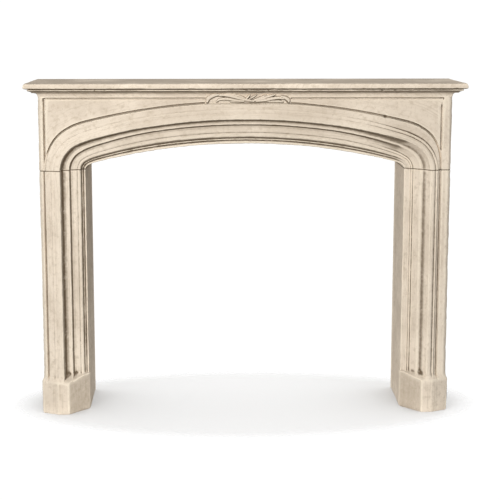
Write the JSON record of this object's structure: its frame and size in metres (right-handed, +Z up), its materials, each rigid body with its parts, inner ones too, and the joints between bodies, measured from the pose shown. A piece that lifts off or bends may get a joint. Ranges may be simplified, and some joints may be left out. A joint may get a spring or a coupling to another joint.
{
  "type": "stone fireplace mantel",
  "caption": "Carved limestone fireplace mantel: depressed arch with swept mouldings on canted plinths under a moulded shelf.",
  "frame": {"origin": "on the floor at the centre of the bounding box: midway between the two shelf ends, and midway between the shelf's front edge and the wall plane", "axes": "+X to the right for a viewer in front of the mantel, +Y from the viewer into the wall, +Z up; the carved front faces -Y and the flat wall face is at +Y"},
  "size_m": [1.7, 0.366, 1.314],
  "materials": {
    "limestone": "hand-finished cream limestone, matt, with brown staining in the recesses"
  },
  "bodies": {
    "root": {"mantel_shelf": "limestone", "lintel": "limestone", "left_jamb": "limestone", "right_jamb": "limestone"}
  },
  "joints": []
}
